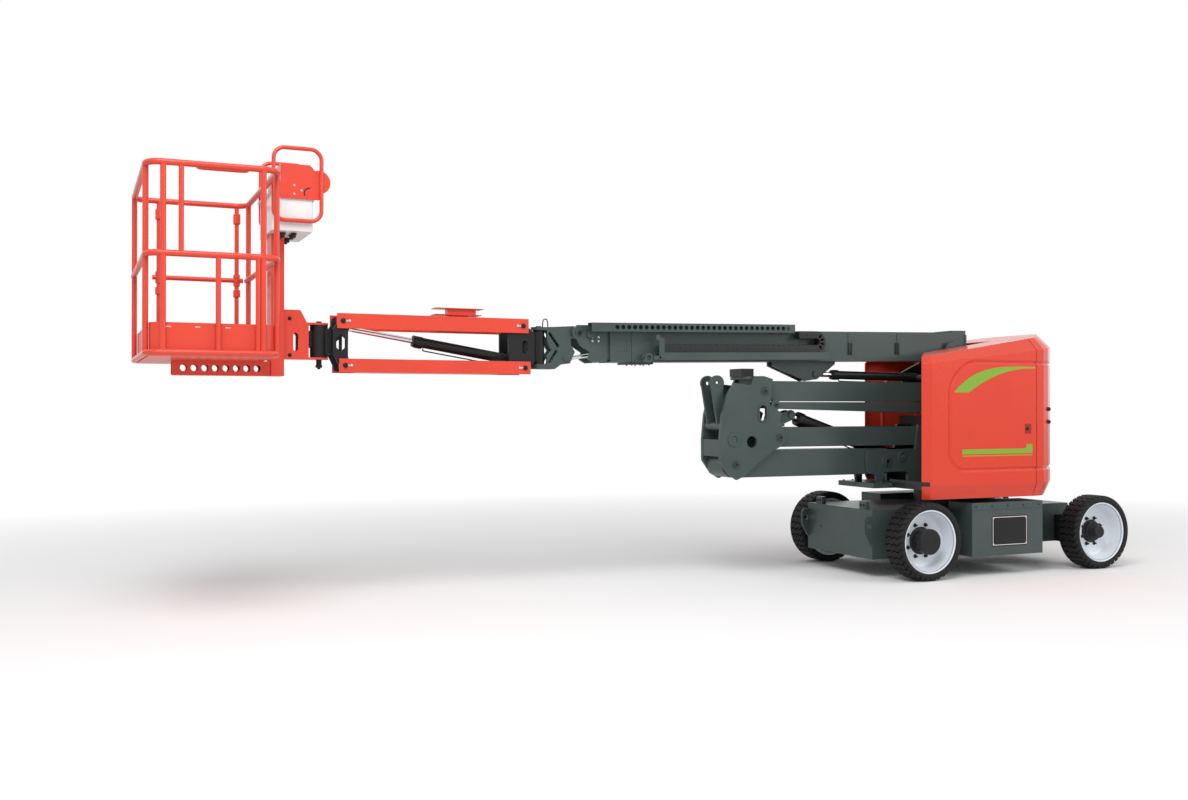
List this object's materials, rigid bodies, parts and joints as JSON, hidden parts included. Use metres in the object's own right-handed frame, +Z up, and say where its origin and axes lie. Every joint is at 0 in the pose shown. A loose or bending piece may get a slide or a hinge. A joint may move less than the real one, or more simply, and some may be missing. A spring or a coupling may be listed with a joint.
{
  "type": "articulating boom lift",
  "caption": "Self-propelled articulating boom lift: wheeled chassis, slewing turntable, folding riser, telescopic boom, swinging jib and a railed work platform.",
  "frame": {"origin": "middle of the footprint box on the floor, machine parked with the boom stowed", "axes": "+X from the turntable tail towards the work platform, +Y to the side of the long cover, +Z up"},
  "size_m": [7.657, 1.48, 2.983],
  "materials": {
    "tyre": "matte",
    "rim_paint": "satin",
    "chrome": "polished",
    "black_paint": "satin",
    "red_cover": "gloss",
    "red_paint": "satin",
    "console_plastic": "matte",
    "chain_plastic": "matte",
    "pack_case": "matte",
    "slate_paint": "satin"
  },
  "bodies": {
    "chassis": {"chassis_frame": "slate_paint", "side_boxes": "slate_paint", "drive_axle": "black_paint", "steer_axle": "black_paint", "slew_ring": "black_paint"},
    "wheel_drive_left": {"tyre_drive_left": "tyre", "rim_drive_left": "rim_paint"},
    "wheel_drive_right": {"tyre_drive_right": "tyre", "rim_drive_right": "rim_paint"},
    "wheel_steer_left": {"tyre_steer_left": "tyre", "rim_steer_left": "rim_paint"},
    "wheel_steer_right": {"tyre_steer_right": "tyre", "rim_steer_right": "rim_paint"},
    "knuckle_left": {"knuckle_left": "black_paint"},
    "knuckle_right": {"knuckle_right": "black_paint"},
    "tie_rod": {"tie_rod": "black_paint"},
    "turntable": {"turntable_frame": "slate_paint", "counterweight": "slate_paint", "power_packs": "pack_case", "tail_cover": "red_cover"},
    "left_cover": {"left_cover": "red_cover"},
    "right_cover": {"right_cover": "red_cover"},
    "lower_arm": {"lower_arm": "slate_paint"},
    "lower_link": {"lower_link": "slate_paint"},
    "mid_knuckle": {"mid_knuckle": "slate_paint"},
    "upper_arm": {"upper_arm": "slate_paint"},
    "upper_link": {"upper_link": "slate_paint"},
    "upright": {"upright": "slate_paint"},
    "riser_barrel": {"riser_barrel": "black_paint"},
    "riser_rod": {"riser_rod": "chrome"},
    "main_boom": {"main_boom": "slate_paint", "cable_chain": "chain_plastic"},
    "fly_boom": {"fly_boom": "slate_paint", "cable_tray": "slate_paint"},
    "boom_nose": {"boom_nose": "slate_paint"},
    "boom_barrel": {"boom_barrel": "black_paint"},
    "boom_rod": {"boom_rod": "chrome"},
    "level_barrel": {"level_barrel": "black_paint"},
    "level_rod": {"level_rod": "chrome"},
    "jib_base": {"jib_base": "black_paint"},
    "jib_top_link": {"jib_top_link": "red_paint"},
    "jib_bottom_link": {"jib_bottom_link": "red_paint"},
    "jib_front": {"jib_front": "black_paint"},
    "jib_barrel": {"jib_barrel": "black_paint"},
    "jib_rod": {"jib_rod": "chrome"},
    "platform": {"platform_mount": "red_paint", "platform_rails": "red_paint", "platform_floor": "red_paint", "console": "console_plastic"},
    "entry_rail": {"entry_rail": "red_paint"}
  },
  "joints": [
    {"name": "drive_left_spin", "type": "hinge", "parent": "chassis", "child": "wheel_drive_left", "pos_m": [-1.77051, 0.645, 0.3], "axis": [0, 1, 0], "continuous": true},
    {"name": "drive_right_spin", "type": "hinge", "parent": "chassis", "child": "wheel_drive_right", "pos_m": [-1.77051, -0.645, 0.3], "axis": [0, 1, 0], "continuous": true},
    {"name": "steer_left", "type": "hinge", "parent": "chassis", "child": "knuckle_left", "pos_m": [-3.52851, 0.49, 0.3], "axis": [0, 0, 1], "range_deg": [-38, 38]},
    {"name": "steer_right", "type": "hinge", "parent": "chassis", "child": "knuckle_right", "pos_m": [-3.52851, -0.49, 0.3], "axis": [0, 0, 1], "range_deg": [-38, 38]},
    {"name": "tie_rod_pivot", "type": "hinge", "parent": "knuckle_left", "child": "tie_rod", "pos_m": [-3.67851, 0.49, 0.3], "axis": [0, 0, 1], "range_deg": [-38, 38]},
    {"name": "steer_left_spin", "type": "hinge", "parent": "knuckle_left", "child": "wheel_steer_left", "pos_m": [-3.52851, 0.645, 0.3], "axis": [0, 1, 0], "continuous": true},
    {"name": "steer_right_spin", "type": "hinge", "parent": "knuckle_right", "child": "wheel_steer_right", "pos_m": [-3.52851, -0.645, 0.3], "axis": [0, 1, 0], "continuous": true},
    {"name": "slew", "type": "hinge", "parent": "chassis", "child": "turntable", "pos_m": [-2.63051, 0, 0], "axis": [0, 0, 1], "range_deg": [-177.5, 177.5]},
    {"name": "left_cover_hinge", "type": "hinge", "parent": "turntable", "child": "left_cover", "pos_m": [-1.78851, 0.24, 1], "axis": [0, 0, -1], "range_deg": [0, 75]},
    {"name": "right_cover_hinge", "type": "hinge", "parent": "turntable", "child": "right_cover", "pos_m": [-2.29151, -0.24, 1], "axis": [0, 0, 1], "range_deg": [0, 75]},
    {"name": "riser_lift", "type": "hinge", "parent": "turntable", "child": "lower_arm", "pos_m": [-1.81551, 0, 0.89], "axis": [0, -1, 0], "range_deg": [0, 65]},
    {"name": "lower_link_pivot", "type": "hinge", "parent": "turntable", "child": "lower_link", "pos_m": [-2.20751, 0, 1.092], "axis": [0, -1, 0], "range_deg": [0, 65]},
    {"name": "knuckle_level", "type": "hinge", "parent": "lower_arm", "child": "mid_knuckle", "pos_m": [-0.41051, 0, 0.89], "axis": [0, -1, 0], "range_deg": [-65, 0]},
    {"name": "upper_arm_pivot", "type": "hinge", "parent": "mid_knuckle", "child": "upper_arm", "pos_m": [-0.66751, 0, 1.449], "axis": [0, -1, 0], "range_deg": [-65, 0]},
    {"name": "upper_link_pivot", "type": "hinge", "parent": "mid_knuckle", "child": "upper_link", "pos_m": [-0.76751, 0, 1.341], "axis": [0, -1, 0], "range_deg": [-65, 0]},
    {"name": "upright_level", "type": "hinge", "parent": "upper_arm", "child": "upright", "pos_m": [-2.39051, 0, 1.449], "axis": [0, -1, 0], "range_deg": [0, 65]},
    {"name": "riser_ram_pivot", "type": "hinge", "parent": "turntable", "child": "riser_barrel", "pos_m": [-1.98251, 0, 0.924], "axis": [0, -1, 0], "range_deg": [0, 64.5]},
    {"name": "riser_ram_stroke", "type": "slide", "parent": "riser_barrel", "child": "riser_rod", "axis": [0.9485, 0, 0.3168], "range_m": [0, 0.559]},
    {"name": "boom_lift", "type": "hinge", "parent": "upright", "child": "main_boom", "pos_m": [-2.52051, 0, 1.8], "axis": [0, -1, 0], "range_deg": [0, 70]},
    {"name": "boom_ram_pivot", "type": "hinge", "parent": "upright", "child": "boom_barrel", "pos_m": [-2.23051, 0, 1.572], "axis": [0, -1, 0], "range_deg": [0, 74.7]},
    {"name": "boom_ram_stroke", "type": "slide", "parent": "boom_barrel", "child": "boom_rod", "axis": [0.9999, 0, 0.0145], "range_m": [0, 0.414]},
    {"name": "telescope", "type": "slide", "parent": "main_boom", "child": "fly_boom", "axis": [0.9998, 0, -0.0192], "range_m": [0, 1.5]},
    {"name": "nose_level", "type": "hinge", "parent": "fly_boom", "child": "boom_nose", "pos_m": [0.86651, 0, 1.86199], "axis": [0, -1, 0], "range_deg": [-70, 0]},
    {"name": "level_ram_pivot", "type": "hinge", "parent": "fly_boom", "child": "level_barrel", "pos_m": [0.15951, 0, 1.78999], "axis": [0, -1, 0], "range_deg": [0, 1.2]},
    {"name": "level_ram_stroke", "type": "slide", "parent": "level_barrel", "child": "level_rod", "axis": [0.9889, 0, -0.1488], "range_m": [-0.241, 0]},
    {"name": "jib_swing", "type": "hinge", "parent": "boom_nose", "child": "jib_base", "pos_m": [1.13751, 0, 1.74], "axis": [0, 0, 1], "range_deg": [-70, 70]},
    {"name": "jib_lift", "type": "hinge", "parent": "jib_base", "child": "jib_top_link", "pos_m": [1.29751, 0, 1.89399], "axis": [0, -1, 0], "range_deg": [-60, 60]},
    {"name": "jib_bottom_pivot", "type": "hinge", "parent": "jib_base", "child": "jib_bottom_link", "pos_m": [1.28251, 0, 1.59999], "axis": [0, -1, 0], "range_deg": [-60, 60]},
    {"name": "jib_level", "type": "hinge", "parent": "jib_top_link", "child": "jib_front", "pos_m": [2.56151, 0, 1.89399], "axis": [0, -1, 0], "range_deg": [-60, 60]},
    {"name": "jib_ram_pivot", "type": "hinge", "parent": "jib_base", "child": "jib_barrel", "pos_m": [1.31451, 0, 1.65499], "axis": [0, -1, 0], "range_deg": [-61.3, 61.3]},
    {"name": "jib_ram_stroke", "type": "slide", "parent": "jib_barrel", "child": "jib_rod", "axis": [0.9869, 0, 0.1614], "range_m": [-0.177, 0.177]},
    {"name": "platform_rotate", "type": "hinge", "parent": "jib_front", "child": "platform", "pos_m": [2.69751, 0, 1.76], "axis": [0, 0, -1], "range_deg": [-90, 90]},
    {"name": "entry_rail_lift", "type": "slide", "parent": "platform", "child": "entry_rail", "axis": [0, 0, 1], "range_m": [0, 0.33]}
  ],
  "couplings": [
    {"joint": "steer_right", "follows": "steer_left", "ratio": 1},
    {"joint": "tie_rod_pivot", "follows": "steer_left", "ratio": -1},
    {"joint": "lower_link_pivot", "follows": "riser_lift", "ratio": 1},
    {"joint": "knuckle_level", "follows": "riser_lift", "ratio": -1},
    {"joint": "upper_arm_pivot", "follows": "riser_lift", "ratio": -1},
    {"joint": "upper_link_pivot", "follows": "riser_lift", "ratio": -1},
    {"joint": "upright_level", "follows": "riser_lift", "ratio": 1},
    {"joint": "riser_ram_pivot", "follows": "riser_lift", "ratio": 0.99121},
    {"joint": "riser_ram_stroke", "follows": "riser_lift", "m_per_rad": 0.49087},
    {"joint": "boom_ram_pivot", "follows": "boom_lift", "ratio": 1.0661},
    {"joint": "boom_ram_stroke", "follows": "boom_lift", "m_per_rad": 0.33682},
    {"joint": "nose_level", "follows": "boom_lift", "ratio": -1},
    {"joint": "level_ram_pivot", "follows": "boom_lift", "ratio": 0.01648},
    {"joint": "level_ram_stroke", "follows": "boom_lift", "m_per_rad": -0.19561},
    {"joint": "jib_bottom_pivot", "follows": "jib_lift", "ratio": 1},
    {"joint": "jib_level", "follows": "jib_lift", "ratio": -1},
    {"joint": "jib_ram_pivot", "follows": "jib_lift", "ratio": 1.021},
    {"joint": "jib_ram_stroke", "follows": "jib_lift", "m_per_rad": 0.16711}
  ]
}
